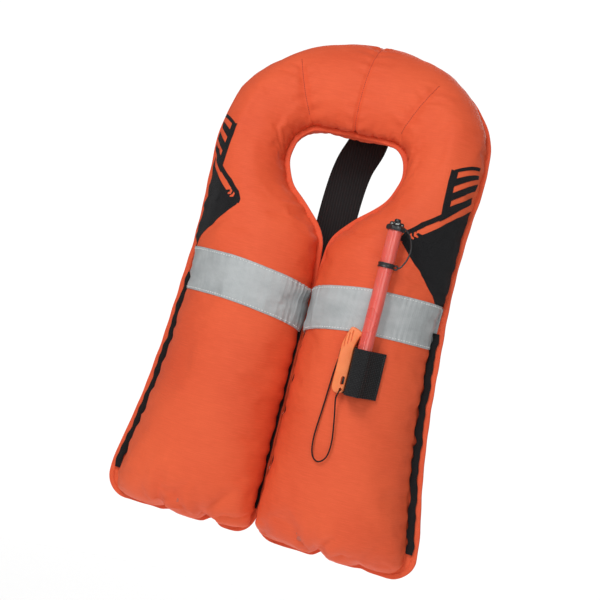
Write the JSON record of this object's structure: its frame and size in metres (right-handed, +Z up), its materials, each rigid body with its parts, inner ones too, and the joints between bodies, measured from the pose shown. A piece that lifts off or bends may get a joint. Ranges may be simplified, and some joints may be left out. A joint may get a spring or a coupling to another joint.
{
  "type": "inflatable life jacket",
  "caption": "Inflated collar-and-lobes life jacket with a mouth inflation tube, whistle on a cord, reflective bands, back strap, buckled waist belt and a gas inflator.",
  "frame": {"origin": "middle of the neck opening, on the sheet that the front and back panels meet in", "axes": "+Z up towards the collar, the front faces -Y, +X on the viewer's right (the wearer's left)"},
  "size_m": [0.3822, 0.2517, 0.6055],
  "materials": {
    "fabric": "coated ripstop weave, satin",
    "binding": "folded edge tape, satin",
    "lining": "coated airtight film",
    "reflective": "silver retro-reflective tape",
    "black_fabric": "black printed or looped fabric",
    "black_webbing": "black woven webbing, cord and elastic",
    "tube_red": "translucent red flexible plastic",
    "black_plastic": "black moulded plastic",
    "clear_plastic": "pale moulded plastic",
    "whistle_orange": "orange moulded plastic",
    "steel": "bright steel",
    "cylinder_paint": "grey plated cylinder"
  },
  "bodies": {
    "jacket": {"sleeve_front": "fabric", "sleeve_back": "fabric", "edge_binding": "binding", "bladder_front": "lining", "bladder_back": "lining", "reflective_tape_right": "reflective", "reflective_tape_left": "reflective", "shoulder_panel_right": "black_fabric", "shoulder_panel_left": "black_fabric", "outer_hook_strip_right": "black_fabric", "outer_hook_strip_left": "black_fabric", "inner_hook_strip_right": "black_fabric", "inner_hook_strip_left": "black_fabric", "keeper_patch": "black_webbing", "lanyard_tab": "black_webbing", "whistle_lanyard": "black_webbing", "back_strap": "black_webbing", "strap_anchor": "black_webbing", "waist_belt": "black_webbing", "belt_loop_left": "black_webbing", "belt_loop_right": "black_webbing", "oral_tube": "tube_red", "tube_base": "black_plastic", "tether_ring": "black_plastic", "cap_tether": "black_plastic", "buckle_socket": "black_plastic", "belt_adjuster": "black_plastic", "inflator_stem": "black_plastic", "inflator_body": "black_plastic", "valve_body": "clear_plastic", "sensor_cartridge": "clear_plastic", "valve_spring": "steel", "firing_spring": "steel", "lever_pin": "steel"},
    "cap": {"tube_cap": "black_plastic"},
    "poppet": {"valve_poppet": "clear_plastic"},
    "whistle": {"whistle": "whistle_orange"},
    "plug": {"buckle_plug": "black_plastic", "plug_strap": "black_webbing"},
    "lever": {"manual_lever": "whistle_orange"},
    "striker": {"firing_pin": "steel"},
    "cylinder": {"gas_cylinder": "cylinder_paint"},
    "sensor_cup": {"sensor_cap": "clear_plastic"},
    "nut": {"stem_nut": "black_plastic"}
  },
  "joints": [
    {"name": "cap_pull", "type": "slide", "parent": "jacket", "child": "cap", "axis": [0, 0.0436, 0.999], "range_m": [0, 0.018], "deforming": ["cap_tether"]},
    {"name": "valve_press", "type": "slide", "parent": "jacket", "child": "poppet", "axis": [0, -0.0436, -0.999], "range_m": [0, 0.0025], "stiffness_N_per_m": 300, "deforming": ["valve_spring"]},
    {"name": "whistle_unclip", "type": "slide", "parent": "jacket", "child": "whistle", "axis": [0, 0, 1], "range_m": [0, 0.05], "deforming": ["whistle_lanyard"]},
    {"name": "buckle_release", "type": "slide", "parent": "jacket", "child": "plug", "axis": [1, 0, 0], "range_m": [0, 0.032]},
    {"name": "lever_pull", "type": "hinge", "parent": "jacket", "child": "lever", "pos_m": [-0.078, 0.08, -0.229], "axis": [0, -1, 0], "range_deg": [0, 70]},
    {"name": "striker_stroke", "type": "slide", "parent": "jacket", "child": "striker", "axis": [0, 0, 1], "range_m": [0, 0.003], "deforming": ["firing_spring"]},
    {"name": "cylinder_turn", "type": "hinge", "parent": "jacket", "child": "cylinder", "pos_m": [-0.076, 0.08, -0.14], "axis": [0, 0, 1], "continuous": true},
    {"name": "sensor_cup_turn", "type": "hinge", "parent": "jacket", "child": "sensor_cup", "pos_m": [-0.086, 0.0796, -0.25], "axis": [0, 0, 1], "continuous": true},
    {"name": "nut_turn", "type": "hinge", "parent": "jacket", "child": "nut", "pos_m": [-0.093, 0.095, -0.215], "axis": [0, 1, 0], "continuous": true}
  ],
  "couplings": [
    {"joint": "striker_stroke", "follows": "lever_pull", "m_per_rad": 0.00245}
  ]
}
